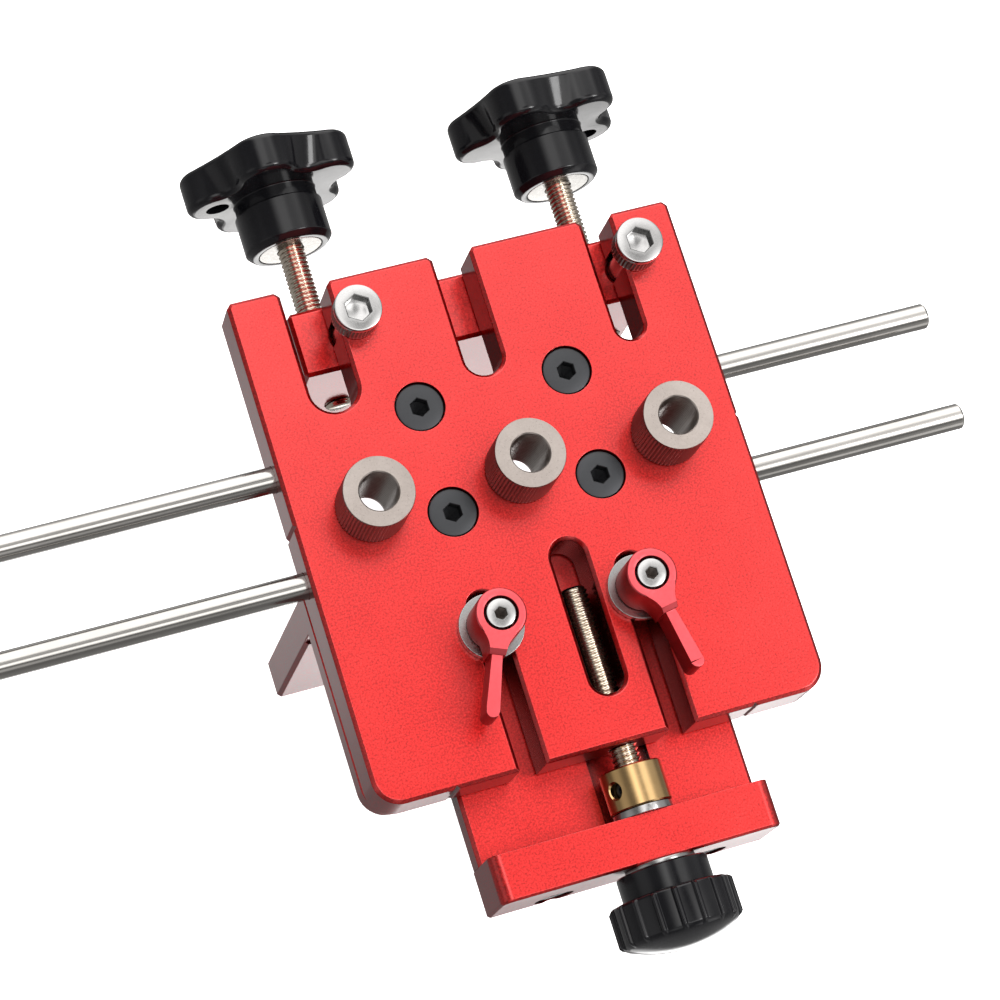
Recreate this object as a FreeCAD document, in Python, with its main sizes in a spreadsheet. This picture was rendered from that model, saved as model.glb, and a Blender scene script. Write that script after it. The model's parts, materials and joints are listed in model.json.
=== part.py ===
"""Self-centring doweling jig: a drill-guide plate that clamps over the edge of a board.

Frame: +Z up, +X along the row of drill guides, +Y towards the two star-knob clamp screws.
The origin is where the axis of the middle drill guide crosses the top face of the plate.
The jaw slides along Y on the lead screw; the board stands between its fence and the clamp screws.
"""
import FreeCAD, Part
import math
import os
import re
import Sketcher

from FreeCAD import Placement, Rotation, Vector

DOC = FreeCAD.newDocument("doweling_jig")

# Driving dimensions, in millimetres and degrees. Depths and distances to the front are positive.
SIZES = {
    # plate
    "plate_half": 48.3, "plate_thick": 12.0, "plate_rear": 48.65, "plate_front": 59.6,
    "plate_corner": 5.7, "tab_corner": 1.0, "edge_break": 0.75, "notch": 0.6, "notch_front": 32.0,
    "gap_floor": 21.1, "gap_left": 10.0, "gap_centre": 8.0, "gap_right": 6.1,
    # drill guides
    "guide_pitch": 32.0, "guide_bore": 4.0, "guide_shank": 6.0, "guide_head": 7.45,
    "guide_high": 11.8, "guide_deep": 7.0, "guide_mouth": 0.25, "guide_rim": 0.25, "guide_foot": 0.4,
    # guide rods and the screws that lock them
    "rod_radius": 2.75, "rod_depth": 6.0, "rod_rear": 12.0, "rod_front": 11.0,
    "rod_reach": 97.0, "rod_long": 250.0, "rod_tip": 0.5, "running": 0.05,
    "lock_across": 16.0, "lock_behind": 5.9, "lock_head": 5.0, "lock_recess": 5.25,
    "lock_sunk": 0.4, "lock_thick": 2.9, "lock_recess_deep": 3.7, "lock_shank": 2.5,
    "lock_long": 8.2, "lock_key": 3.5, "lock_key_deep": 1.6, "lock_rim": 0.4,
    # rear block and its two cap screws
    "block_left": 34.3, "block_right": 42.8, "block_front": 33.0, "block_rear": 47.1,
    "jig_depth": 74.0, "block_break": 0.8,
    "post_left": 23.5, "post_right": 38.0, "post_along": 39.6, "post_hole": 4.0, "post_mouth": 0.7,
    "cap_head": 5.0, "cap_high": 6.0, "cap_key": 5.0, "cap_key_deep": 3.0, "cap_grip": 30.0,
    "cap_rim": 0.5,
    # sliding jaw, its tongue and end plate
    "jaw_top": 12.15, "jaw_bottom": 19.0, "fence_rear": 10.2, "fence_front": 18.9,
    "jaw_front": 58.4, "relief_deep": 0.6, "relief_low": 25.0,
    "tongue_half": 30.0, "tongue_front": 74.2, "channel_half": 6.55, "channel_deep": 2.3,
    "channel_rear": 57.0, "end_front": 84.0, "end_top": 1.3, "end_corner": 2.6, "end_face_break": 0.5,
    "end_screw": 16.6, "end_screw_depth": 14.6, "end_recess": 4.1, "end_sunk": 0.5,
    "end_head": 3.8, "end_head_thick": 2.2, "end_shank": 2.0, "end_shank_long": 16.5,
    "end_rim": 0.3, "end_key": 2.5, "end_key_deep": 1.3,
    # lead screw, its slot, collar and knob
    "lead_across": 4.2, "lead_slot": 7.2, "lead_slot_rear": 16.5, "lead_slot_front": 49.3,
    "thread_radius": 3.0, "lead_tip": 25.6, "lead_end": 97.0, "thread_break": 0.6,
    "collar_radius": 6.5, "collar_rear": 64.1, "collar_front": 72.6, "collar_break": 0.3,
    "collar_tilt": 55.0, "grub_radius": 1.5, "grub_sunk": 2.2, "grub_key": 1.5, "grub_key_deep": 0.9,
    "thrust_inner": 6.2, "thrust_outer": 7.3, "face_gap": 0.1, "adjuster_face": 85.0,
    "adjuster_hub": 9.5, "adjuster_neck": 90.3, "adjuster_head": 12.5, "adjuster_end": 99.4,
    "adjuster_dome": 2.6, "adjuster_ridge": 0.55, "adjuster_rim": 1.0,
    # clamp levers
    "lever_across": 16.0, "lever_front": 30.2, "lever_slot": 5.6, "lever_slot_end": 22.6,
    "stud_radius": 2.5, "stud_top": 5.6, "washer_radius": 6.75, "washer_top": 2.0,
    "insert_radius": 3.6, "insert_top": 8.0, "insert_low": 2.1, "insert_hole_top": 5.8,
    "hub_radius": 5.2, "hub_low": 2.5, "hub_top": 12.7, "hub_rim": 0.3,
    "web_low": 8.1, "web_top": 8.9, "web_bore": 1.9, "well_radius": 3.5,
    "pin_head": 3.0, "pin_head_low": 11.7, "pin_head_top": 12.6, "pin_shank": 1.5,
    "pin_key": 2.3, "pin_key_deep": 0.6, "pin_rim": 0.2,
    "spring_outer": 3.1, "spring_inner": 2.2,
    "neck_end": 8.3, "neck_half": 1.7, "step_slope": 1.05, "arm_low": 4.2, "arm_top": 11.6,
    "arm_tip": 21.0, "arm_root_half": 1.05, "arm_tip_half": 1.4,
    "lever_left_turn": -111.6, "lever_right_turn": -79.2,
    # star-knob clamp screws
    "clamp_left": 23.9, "clamp_right": 38.0, "clamp_depth": 37.0, "clamp_radius": 2.95, "clamp_tip": 32.0,
    "clamp_in_knob": 12.0,
    "knob_foot": 68.6, "knob_foot_break": 1.2, "knob_hub": 9.7, "knob_collar": 9.1,
    "knob_collar_low": 9.6, "knob_face": 12.5, "knob_top": 21.0, "knob_break": 1.0,
    "lobe_centre": 13.0, "lobe_radius": 6.5, "knob_waist": 14.1, "knob_waist_top": 16.6,
    "ring_flange": 7.0, "ring_flange_thick": 1.6, "ring_barrel": 4.6, "ring_long": 10.0,
    "knob_pocket": 2.6, "knob_pocket_deep": 5.0, "knob_left_turn": -175.0, "knob_right_turn": 25.0,
}
RIDGES = 18
LOBES = 5

SHEET = DOC.addObject("Spreadsheet::Sheet", "Sizes")
for row, (alias, value) in enumerate(SIZES.items(), start=1):
    SHEET.set(f"A{row}", str(value))
    SHEET.setAlias(f"A{row}", alias)
DOC.recompute()

WORD = re.compile(r"[a-z]+(?:_[a-z]+)*")

# A fillet between a lever's hub and its neck, tangent to both.
NECK_FILLET = "((neck_end ^ 2 + neck_half ^ 2 - hub_radius ^ 2) / (2 * (hub_radius - neck_half)))"
HALF_LOBE = math.radians(180 / LOBES)

AXIS_TO_REAR = Rotation(Vector(1, 0, 0), -90)
AXIS_TO_FRONT = Rotation(Vector(1, 0, 0), 90)
AXIS_TO_RIGHT = Rotation(Vector(0, 1, 0), 90)


# ---- helpers -----------------------------------------------------------------------------------

def bound(text):
    """An expression written with plain aliases, as other objects of the document read it."""
    return WORD.sub(lambda m: f"Sizes.{m.group()}" if m.group() in SIZES else m.group(), text)


def size(text):
    """The number that an expression of plain aliases has now."""
    return float(SHEET.evalExpression(text))


def new_body(label):
    body = DOC.addObject("PartDesign::Body", label)
    body.Label = label
    return body


def place(body, along=("0", "0", "0"), turn=Rotation()):
    """Turns a body and moves its origin to a point given by three expressions."""
    body.Placement = Placement(Vector(*map(size, along)), turn)
    for axis, text in zip("xyz", along):
        body.setExpression(f"Placement.Base.{axis}", bound(text))


def new_sketch(body, role, offset="0"):
    """A sketch on one of the body's own origin planes, lifted along that plane's normal."""
    plane = next(f for f in body.Origin.OriginFeatures if f.Role == role)
    sketch = body.newObject("Sketcher::SketchObject", f"{body.Name}_sketch")
    sketch.AttachmentSupport = [(plane, "")]
    sketch.MapMode = "FlatFace"
    sketch.setExpression("AttachmentOffset.Base.z", bound(offset))
    return sketch


def dimension(sketch, kind, text, *where):
    """A sketch dimension whose value is an expression of the sheet's cells."""
    index = sketch.addConstraint(Sketcher.Constraint(kind, *where, size(text)))
    name = f"dimension_{index}"
    sketch.renameConstraint(index, name)
    sketch.setExpression(f"Constraints.{name}", bound(text))


def draw_outline(sketch, steps):
    """A closed outline. A step is (x, y) for a straight line to that point, or
    (x, y, centre_x, centre_y, side) for an arc that turns left (side 1) or right (side -1)."""
    points = [Vector(size(step[0]), size(step[1]), 0) for step in steps]
    first = sketch.GeometryCount
    for index, step in enumerate(steps):
        start, end = points[index - 1], points[index]
        if len(step) == 2:
            sketch.addGeometry(Part.LineSegment(start, end), False)
        else:
            centre = Vector(size(step[2]), size(step[3]), 0)
            sketch.addGeometry(arc_between(start, end, centre, step[4]), False)
    for index, step in enumerate(steps):
        here, following = first + index, first + (index + 1) % len(steps)
        arrives, leaves = 3 - starts_at(step), starts_at(steps[(index + 1) % len(steps)])
        sketch.addConstraint(Sketcher.Constraint("Coincident", here, arrives, following, leaves))
        dimension(sketch, "DistanceX", step[0], -1, 1, here, arrives)
        dimension(sketch, "DistanceY", step[1], -1, 1, here, arrives)
        if len(step) == 5:
            chord = points[index] - points[index - 1]
            if abs(chord.x) >= abs(chord.y):
                dimension(sketch, "DistanceY", step[3], -1, 1, here, 3)
            else:
                dimension(sketch, "DistanceX", step[2], -1, 1, here, 3)


def starts_at(step):
    """The end of its geometry that a step starts at: an arc's own points run anticlockwise."""
    return 2 if len(step) == 5 and step[4] < 0 else 1


def arc_between(start, end, centre, side):
    low, high = (start, end) if side > 0 else (end, start)
    first = math.atan2(low.y - centre.y, low.x - centre.x)
    last = math.atan2(high.y - centre.y, high.x - centre.x)
    if last < first:
        last += 2 * math.pi
    return Part.ArcOfCircle(Part.Circle(centre, Vector(0, 0, 1), (start - centre).Length), first, last)


def draw_circle(sketch, x, y, radius):
    circle = Part.Circle(Vector(size(x), size(y), 0), Vector(0, 0, 1), size(radius))
    index = sketch.addGeometry(circle, False)
    dimension(sketch, "Radius", radius, index)
    dimension(sketch, "DistanceX", x, -1, 1, index, 3)
    dimension(sketch, "DistanceY", y, -1, 1, index, 3)


def hexagon(across):
    """The outline of a hexagon key socket round the sketch's origin, from its width across flats."""
    turns = [math.radians(60 * k + 30) for k in range(6)]
    return [(f"{across} * {math.cos(t) / math.sqrt(3):.8f}", f"{across} * {math.sin(t) / math.sqrt(3):.8f}")
            for t in turns]


def rectangle(left, right, low, high):
    return [(right, low), (right, high), (left, high), (left, low)]


def pad(body, sketch, length, reverse=False):
    feature = body.newObject("PartDesign::Pad", f"{body.Name}_pad")
    feature.Profile = sketch
    feature.Reversed = reverse
    feature.setExpression("Length", bound(length))
    DOC.recompute()
    return feature


def pocket(body, sketch, length=None, reverse=False, both_ways=False):
    """Cuts a sketch out of the body, to a length or right through it."""
    before = body.Shape.Volume
    feature = body.newObject("PartDesign::Pocket", f"{body.Name}_pocket")
    feature.Profile = sketch
    feature.Reversed = reverse
    if length is None:
        feature.Type = "ThroughAll"
    else:
        feature.setExpression("Length", bound(length))
    if both_ways:
        feature.SideType = "Symmetric"
    DOC.recompute()
    require_less(feature.Shape.Volume, before, body)
    return feature


def revolve(body, steps):
    """A turned solid: its outline has the radius as x and the height along the axis as y."""
    sketch = new_sketch(body, "XZ_Plane")
    draw_outline(sketch, steps)
    feature = body.newObject("PartDesign::Revolution", f"{body.Name}_turned")
    feature.Profile = sketch
    feature.ReferenceAxis = (sketch, ["V_Axis"])
    feature.Angle = 360
    DOC.recompute()
    return feature


def loft(body, sections):
    """A solid with straight walls from each sketch to the next."""
    feature = body.newObject("PartDesign::AdditiveLoft", f"{body.Name}_loft")
    feature.Profile = sections[0]
    feature.Sections = sections[1:]
    feature.Ruled = True
    DOC.recompute()
    return feature


def break_edges(body, width, names):
    """A chamfer on faces or edges of the body's last feature."""
    last = body.Tip
    chamfer = body.newObject("PartDesign::Chamfer", f"{body.Name}_chamfer")
    chamfer.Base = (last, names)
    chamfer.setExpression("Size", bound(width))
    DOC.recompute()
    require_less(chamfer.Shape.Volume, last.Shape.Volume, body)
    return chamfer


def require_less(after, before, body):
    if not after < before - 1e-6:
        raise RuntimeError(f"a cut takes nothing away from {body.Label}")


def faces_at(body, *heights):
    """Names of the body's flat horizontal faces at the given heights."""
    boxes = [face.BoundBox for face in body.Shape.Faces]
    return [f"Face{index}" for index, box in enumerate(boxes, start=1)
            if box.ZLength < 1e-6 and any(abs(box.ZMin - z) < 1e-6 for z in map(size, heights))]


def edges_where(body, test):
    """Names of the body's edges that pass a test."""
    return [f"Edge{index}" for index, edge in enumerate(body.Shape.Edges, start=1) if test(edge)]


# ---- plate and drill guides --------------------------------------------------------------------

def rear_gap(x, width):
    """Outline steps of one U-shaped gap, open to the rear, walked from right to left."""
    half, floor = f"{width} / 2", f"gap_floor + {width} / 2"
    return [
        (f"{x} + {half} + tab_corner", "plate_rear"),
        (f"{x} + {half}", "plate_rear - tab_corner"),
        (f"{x} + {half}", floor),
        (f"{x} - {half}", floor, x, floor, -1),
        (f"{x} - {half}", "plate_rear - tab_corner"),
        (f"{x} - {half} - tab_corner", "plate_rear"),
    ]


def lever_gap(x):
    """Outline steps of one lever slot, open to the front, walked from left to right."""
    half, end = "lever_slot / 2", "-lever_slot_end - lever_slot / 2"
    return [
        (f"{x} - {half}", "-plate_front"),
        (f"{x} - {half}", end),
        (f"{x} + {half}", end, x, end, -1),
        (f"{x} + {half}", "-plate_front"),
    ]


def notch_outline(x, y, in_x, in_y):
    """A V notch whose point lies one notch size inward; its mouth stands clear of the side."""
    out = "notch * 0.25"
    return [
        (f"{x} - {in_x} * {out} - {in_y} * notch * 1.25", f"{y} - {in_y} * {out} + {in_x} * notch * 1.25"),
        (f"{x} - {in_x} * {out} + {in_y} * notch * 1.25", f"{y} - {in_y} * {out} - {in_x} * notch * 1.25"),
        (f"{x} + {in_x} * notch", f"{y} + {in_y} * notch"),
    ]


def lock_places():
    """Centres of the four rod-lock screws: two behind each rod."""
    return [(x, y) for y in ("rod_rear + lock_behind", "-rod_front + lock_behind")
            for x in ("-lock_across", "lock_across")]


def main_plate():
    """The guide plate: three rear gaps, two lever slots, the lead-screw slot and all its bores."""
    body = new_body("main_plate")
    right, left = "plate_half - plate_corner", "-plate_half + plate_corner"
    corner_y = "-plate_front + plate_corner"
    outline = [("plate_half", corner_y, right, corner_y, 1),
               ("plate_half", "plate_rear - tab_corner"), ("plate_half - tab_corner", "plate_rear")]
    for x, width in (("guide_pitch", "gap_right"), ("0", "gap_centre"), ("-guide_pitch", "gap_left")):
        outline += rear_gap(x, width)
    outline += [("-plate_half + tab_corner", "plate_rear"), ("-plate_half", "plate_rear - tab_corner"),
                ("-plate_half", corner_y), (left, "-plate_front", left, corner_y, 1)]
    outline += lever_gap("-lever_across") + lever_gap("lever_across") + [(right, "-plate_front")]
    blank = new_sketch(body, "XY_Plane")
    draw_outline(blank, outline)
    pad(body, blank, "plate_thick", reverse=True)

    slot = new_sketch(body, "XY_Plane")
    slot_left, slot_right = "lead_across - lead_slot / 2", "lead_across + lead_slot / 2"
    rear, front = "-lead_slot_rear - lead_slot / 2", "-lead_slot_front + lead_slot / 2"
    draw_outline(slot, [(slot_right, front, "lead_across", front, 1), (slot_right, rear),
                        (slot_left, rear, "lead_across", rear, 1), (slot_left, front)])
    pocket(body, slot)
    break_edges(body, "edge_break", faces_at(body, "0", "-plate_thick"))

    notches = new_sketch(body, "XY_Plane")
    for x, y, in_x, in_y in (("plate_half", "0", "(-1)", "0"), ("-plate_half", "0", "1", "0"),
                             ("notch_front", "-plate_front", "0", "1"),
                             ("-notch_front", "-plate_front", "0", "1")):
        draw_outline(notches, notch_outline(x, y, in_x, in_y))
    pocket(body, notches)

    through = new_sketch(body, "XY_Plane")
    for x in ("-guide_pitch", "0", "guide_pitch"):
        draw_circle(through, x, "0", "guide_shank")
    for x in ("-post_left", "post_right"):
        draw_circle(through, x, "post_along", "post_hole")
    for x, y in lock_places():
        draw_circle(through, x, y, "lock_shank")
    pocket(body, through)

    recesses = new_sketch(body, "XY_Plane")
    for x, y in lock_places():
        draw_circle(recesses, x, y, "lock_recess")
    pocket(body, recesses, "lock_recess_deep")

    rod_bores = new_sketch(body, "YZ_Plane")
    for y in ("rod_rear", "-rod_front"):
        draw_circle(rod_bores, y, "-rod_depth", "rod_radius + running")
    pocket(body, rod_bores, both_ways=True)

    lead_bore = new_sketch(body, "XZ_Plane", "lead_slot_front - lead_slot / 2")
    draw_circle(lead_bore, "lead_across", "-rod_depth", "thread_radius + running")
    pocket(body, lead_bore, reverse=True)
    return body


def drill_guide(label, x):
    """A hardened guide bush: a short plain shank in the plate under a taller knurled head."""
    body = new_body(label)
    revolve(body, [
        ("guide_bore", "-guide_deep"), ("guide_shank", "-guide_deep"), ("guide_shank", "0"),
        ("guide_head - guide_foot", "0"), ("guide_head", "guide_foot"),
        ("guide_head", "guide_high - guide_rim"), ("guide_head - guide_rim", "guide_high"),
        ("guide_bore + guide_mouth", "guide_high"), ("guide_bore", "guide_high - guide_mouth"),
    ])
    place(body, (x, "0", "0"))
    return body


def drill_guides():
    return [drill_guide(f"drill_guide_{side}", x)
            for side, x in (("left", "-guide_pitch"), ("centre", "0"), ("right", "guide_pitch"))]


# ---- screws and rods ---------------------------------------------------------------------------

def socket_screw(label, prefix, head, thick, shank, long, key, along, turn=Rotation()):
    """A screw with a round head above its origin, a plain shank below it and a hexagon socket.
    The aliases prefix_rim and prefix_key_deep give the head's broken edge and the socket's depth."""
    body = new_body(label)
    rim, low = f"{prefix}_rim", f"-({long})"
    revolve(body, [
        ("0", low), (f"{shank} - {rim}", low), (shank, f"{low} + {rim}"), (shank, "0"), (head, "0"),
        (head, f"{thick} - {rim}"), (f"{head} - {rim}", thick), ("0", thick),
    ])
    socket = new_sketch(body, "XY_Plane", thick)
    draw_outline(socket, hexagon(key))
    pocket(body, socket, f"{prefix}_key_deep")
    place(body, along, turn)
    return body


def rod_lock_screws():
    """Their heads bear on the rods: each head's rim reaches over its rod."""
    names = ("rear_left", "rear_right", "front_left", "front_right")
    return [socket_screw(f"rod_lock_screw_{name}", "lock", "lock_head", "lock_thick", "lock_shank",
                         "lock_long", "lock_key", (x, y, "-lock_sunk - lock_thick"))
            for name, (x, y) in zip(names, lock_places())]


def guide_rod(label, y):
    """A plain ground rod along X with broken ends."""
    body = new_body(label)
    revolve(body, [
        ("0", "0"), ("rod_radius - rod_tip", "0"), ("rod_radius", "rod_tip"),
        ("rod_radius", "rod_long - rod_tip"), ("rod_radius - rod_tip", "rod_long"), ("0", "rod_long"),
    ])
    place(body, ("rod_reach - rod_long", y, "-rod_depth"), AXIS_TO_RIGHT)
    return body


def guide_rods():
    return [guide_rod("guide_rod_rear", "rod_rear"), guide_rod("guide_rod_front", "-rod_front")]


# ---- rear block --------------------------------------------------------------------------------

def rear_clamp_block():
    """The block under the rear of the plate: it carries the two clamp screws."""
    body = new_body("rear_clamp_block")
    blank = new_sketch(body, "XY_Plane", "-plate_thick")
    draw_outline(blank, rectangle("-block_left", "block_right", "block_front", "block_rear"))
    pad(body, blank, "jig_depth - plate_thick", reverse=True)
    break_edges(body, "block_break", [f"Edge{k + 1}" for k in range(len(body.Shape.Edges))])
    posts = new_sketch(body, "XY_Plane", "-plate_thick")
    for x in ("-post_left", "post_right"):
        draw_circle(posts, x, "post_along", "thread_radius")
    pocket(body, posts, "cap_grip - plate_thick + 1")
    low = -size("plate_thick") - 0.01
    break_edges(body, "post_mouth", edges_where(
        body, lambda edge: edge.BoundBox.ZMin > low and type(edge.Curve) is Part.Circle))
    clamps = new_sketch(body, "XZ_Plane")
    for x in ("-clamp_left", "clamp_right"):
        draw_circle(clamps, x, "-clamp_depth", "thread_radius")
    pocket(body, clamps)
    return body


def block_screws():
    return [socket_screw(f"block_screw_{side}", "cap", "cap_head", "cap_high", "thread_radius",
                         "cap_grip", "cap_key", (x, "post_along", "0"))
            for side, x in (("left", "-post_left"), ("right", "post_right"))]


# ---- jaw and end plate -------------------------------------------------------------------------

def sliding_jaw():
    """The jaw: a flange under the plate, the deep fence, and the tongue that carries the end plate."""
    body = new_body("sliding_jaw")
    right, left = "plate_half - plate_corner", "-plate_half + plate_corner"
    corner_y = "-jaw_front + plate_corner"
    blank = new_sketch(body, "XY_Plane", "-jaw_top")
    draw_outline(blank, [
        ("plate_half", "-fence_rear"), ("-plate_half", "-fence_rear"), ("-plate_half", corner_y),
        (left, "-jaw_front", left, corner_y, 1), ("-tongue_half", "-jaw_front"),
        ("-tongue_half", "-tongue_front"), ("tongue_half", "-tongue_front"),
        ("tongue_half", "-jaw_front"), (right, "-jaw_front"),
        ("plate_half", corner_y, right, corner_y, 1),
    ])
    pad(body, blank, "jaw_bottom - jaw_top", reverse=True)
    fence = new_sketch(body, "XY_Plane", "-jaw_bottom")
    draw_outline(fence, rectangle("-plate_half", "plate_half", "-fence_front", "-fence_rear"))
    pad(body, fence, "jig_depth - jaw_bottom", reverse=True)

    break_edges(body, "edge_break", edges_where(body, jaw_edge_is_broken))

    relief = new_sketch(body, "YZ_Plane")
    draw_outline(relief, rectangle("-fence_front - 1", "-fence_front + relief_deep", "-relief_low",
                                   "-jaw_bottom"))
    pocket(body, relief, both_ways=True)
    channel = new_sketch(body, "XY_Plane", "-jaw_top")
    draw_outline(channel, rectangle("lead_across - channel_half", "lead_across + channel_half",
                                    "-tongue_front - 1", "-channel_rear"))
    pocket(body, channel, "channel_deep")
    studs = new_sketch(body, "XY_Plane", "-jaw_top")
    for x in ("-lever_across", "lever_across"):
        draw_circle(studs, x, "-lever_front", "stud_radius")
    pocket(body, studs)
    screws = new_sketch(body, "XZ_Plane", "tongue_front")
    for x in ("-end_screw", "end_screw"):
        draw_circle(screws, x, "-end_screw_depth", "end_shank")
    pocket(body, screws, "end_sunk + end_head_thick + end_shank_long - end_front + tongue_front")
    return body


def jaw_edge_is_broken(edge):
    """True on the jaw's outer edges, except where the end plate and the fence meet the flange."""
    box = edge.BoundBox
    if box.YMax < -size("tongue_front") + 0.01:
        return False
    on_top = box.ZMin > -size("jaw_top") - 0.01
    on_foot = box.ZMax < -size("jig_depth") + 0.01
    down_fence = box.ZLength > size("jaw_bottom")
    under_flange = (box.ZLength < 0.01 and abs(box.ZMin + size("jaw_bottom")) < 0.01
                    and box.YMax < -size("fence_front") - 0.01)
    return on_top or on_foot or down_fence or under_flange


def jaw_end_plate():
    """The upright plate across the end of the tongue; the lead screw turns in it."""
    body = new_body("jaw_end_plate")
    right, left = "tongue_half - end_corner", "-tongue_half + end_corner"
    corner_z = "-end_top - end_corner"
    blank = new_sketch(body, "XZ_Plane", "tongue_front")
    draw_outline(blank, [
        ("tongue_half", "-jaw_bottom"), ("tongue_half", corner_z),
        (right, "-end_top", right, corner_z, 1), (left, "-end_top"),
        ("-tongue_half", corner_z, left, corner_z, 1), ("-tongue_half", "-jaw_bottom"),
    ])
    pad(body, blank, "end_front - tongue_front")
    front = -size("end_front")
    break_edges(body, "end_face_break", edges_where(body, lambda edge: edge.BoundBox.YMax < front + 0.01))
    lead = new_sketch(body, "XZ_Plane", "end_front")
    draw_circle(lead, "lead_across", "-rod_depth", "thread_radius + running")
    for x in ("-end_screw", "end_screw"):
        draw_circle(lead, x, "-end_screw_depth", "end_shank")
    pocket(body, lead)
    heads = new_sketch(body, "XZ_Plane", "end_front")
    for x in ("-end_screw", "end_screw"):
        draw_circle(heads, x, "-end_screw_depth", "end_recess")
    pocket(body, heads, "end_sunk + end_head_thick")
    return body


def end_plate_screws():
    return [socket_screw(f"end_plate_screw_{side}", "end", "end_head", "end_head_thick", "end_shank",
                         "end_shank_long", "end_key",
                         (x, "-end_front + end_sunk + end_head_thick", "-end_screw_depth"),
                         AXIS_TO_FRONT)
            for side, x in (("left", "-end_screw"), ("right", "end_screw"))]


# ---- lead screw --------------------------------------------------------------------------------

def ring(label, inner, outer, thick, along, turn=Rotation()):
    """A plain flat ring that stands on its origin."""
    body = new_body(label)
    revolve(body, [(inner, "0"), (outer, "0"), (outer, thick), (inner, thick)])
    place(body, along, turn)
    return body


def lead_screw():
    body = new_body("lead_screw")
    long = "lead_end - lead_tip"
    revolve(body, [
        ("0", "0"), ("thread_radius - thread_break", "0"), ("thread_radius", "thread_break"),
        ("thread_radius", f"{long} - thread_break"), ("thread_radius - thread_break", long), ("0", long),
    ])
    place(body, ("lead_across", "-lead_tip", "-rod_depth"), AXIS_TO_FRONT)
    return body


def lead_collar():
    """The collar that takes the lead screw's thrust, with a radial hole up and to the left."""
    body = new_body("lead_collar")
    long = "(collar_front - collar_rear)"
    revolve(body, [
        ("thread_radius", "0"), ("collar_radius - collar_break", "0"), ("collar_radius", "collar_break"),
        ("collar_radius", f"{long} - collar_break"), ("collar_radius - collar_break", long),
        ("thread_radius", long),
    ])
    hole = new_sketch(body, "XZ_Plane")
    draw_circle(hole, "0", f"{long} / 2", "grub_radius")
    pocket(body, hole, "collar_radius + 1")
    tilt = Rotation(Vector(0, 0, 1), size("collar_tilt"))
    place(body, ("lead_across", "-collar_rear", "-rod_depth"), AXIS_TO_FRONT.multiply(tilt))
    return body


def collar_set_screw():
    """The grub screw in the collar, from the lead screw's surface outwards."""
    body = new_body("collar_set_screw")
    top = "collar_radius - grub_sunk"
    revolve(body, [("0", "thread_radius"), ("grub_radius", "thread_radius"), ("grub_radius", top),
                   ("0", top)])
    socket = new_sketch(body, "XY_Plane", top)
    draw_outline(socket, hexagon("grub_key"))
    pocket(body, socket, "grub_key_deep")
    place(body, ("lead_across", "-(collar_rear + collar_front) / 2", "-rod_depth"),
          Rotation(Vector(0, 1, 0), -size("collar_tilt")))
    return body


def thrust_washers():
    bore = "thread_radius + running"
    return [
        ring("thrust_washer_inner", bore, "thrust_inner", "tongue_front - collar_front - face_gap",
             ("lead_across", "-collar_front - face_gap", "-rod_depth"), AXIS_TO_FRONT),
        ring("thrust_washer_outer", bore, "thrust_outer", "adjuster_face - end_front - face_gap",
             ("lead_across", "-end_front", "-rod_depth"), AXIS_TO_FRONT),
    ]


def adjuster_knob():
    """The knob on the lead screw: a plain hub, a ridged head and a domed end."""
    body = new_body("adjuster_knob")
    neck, end = "(adjuster_neck - adjuster_face)", "(adjuster_end - adjuster_face)"
    rim = "(adjuster_head - adjuster_rim)"
    bore_end = "lead_end - adjuster_face"
    dome_centre = f"{end} + adjuster_dome - ({rim} ^ 2 + adjuster_dome ^ 2) / (2 * adjuster_dome)"
    revolve(body, [
        ("thread_radius", "0"), ("adjuster_hub", "0"), ("adjuster_hub", neck), (rim, neck),
        ("adjuster_head", f"{neck} + adjuster_rim"), ("adjuster_head", f"{end} - adjuster_rim"),
        (rim, end), ("0", f"{end} + adjuster_dome", "0", dome_centre, 1), ("0", bore_end),
        ("thread_radius", bore_end),
    ])
    spot = new_sketch(body, "XY_Plane", f"{neck} + adjuster_rim")
    draw_circle(spot, "adjuster_head", "0", "adjuster_ridge")
    ridge = pad(body, spot, f"{end} - {neck} - 2 * adjuster_rim")
    ridges = body.newObject("PartDesign::PolarPattern", "adjuster_ridges")
    ridges.Originals = [ridge]
    ridges.Axis = (spot, ["N_Axis"])
    ridges.Angle = 360
    ridges.Occurrences = RIDGES
    body.Tip = ridges
    place(body, ("lead_across", "-adjuster_face", "-rod_depth"), AXIS_TO_FRONT)
    return body


# ---- clamp levers ------------------------------------------------------------------------------

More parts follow.
